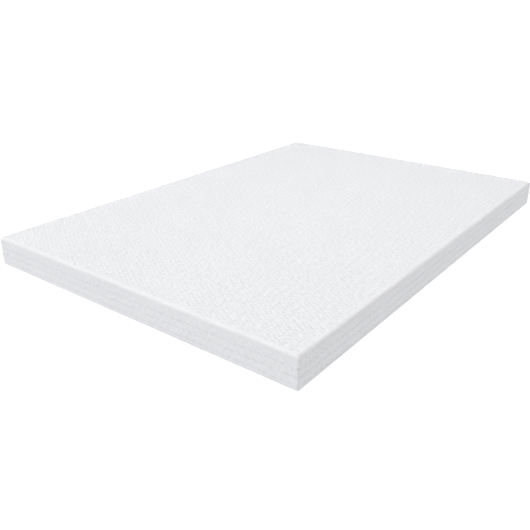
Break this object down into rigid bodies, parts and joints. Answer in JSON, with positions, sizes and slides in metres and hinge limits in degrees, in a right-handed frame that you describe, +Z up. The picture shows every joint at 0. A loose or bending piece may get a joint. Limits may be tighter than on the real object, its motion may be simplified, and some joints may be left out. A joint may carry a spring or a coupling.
{
  "type": "mattress topper",
  "caption": "Rectangular foam mattress topper in a white knitted cover, with a low crown, rolled rims, a sewn side border and a flat underside.",
  "frame": {"origin": "under the middle of the topper, on the surface it rests on", "axes": "+X from side to side, +Y along the length, +Z up out of the sleeping face"},
  "size_m": [1.4, 2, 0.12],
  "materials": {
    "panel_knit": "matte white knitted jacquard with small raised cells",
    "strip_knit": "matte white knitted jacquard with rows of small raised cells"
  },
  "bodies": {
    "root": {"filled_body": "panel_knit", "side_strip": "strip_knit"}
  },
  "joints": []
}
